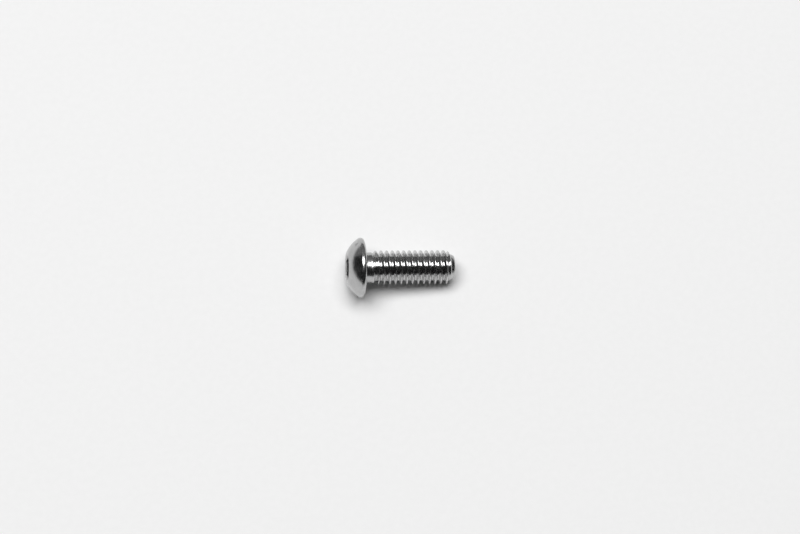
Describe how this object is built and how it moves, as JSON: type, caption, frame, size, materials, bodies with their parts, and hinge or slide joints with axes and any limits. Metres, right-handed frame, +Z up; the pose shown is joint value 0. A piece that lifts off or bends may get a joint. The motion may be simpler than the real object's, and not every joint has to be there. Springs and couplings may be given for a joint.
{
  "type": "button head socket screw",
  "caption": "Steel screw with a low domed head, a hexagon socket in the dome, a short plain neck and a fully threaded shank with a small plain end.",
  "frame": {"origin": "on the ground below the middle of the screw's whole length, where it lies on its head's rim and on the end of its thread", "axes": "+X from the head towards the tip, +Z up; the screw's axis dips 8.32 degrees below +X"},
  "size_m": [0.0194, 0.0104, 0.0103],
  "materials": {
    "steel": "bright rolled steel with fine marks, smooth on the thread and a little rougher in the socket"
  },
  "bodies": {
    "root": {"screw": "steel"}
  },
  "joints": []
}
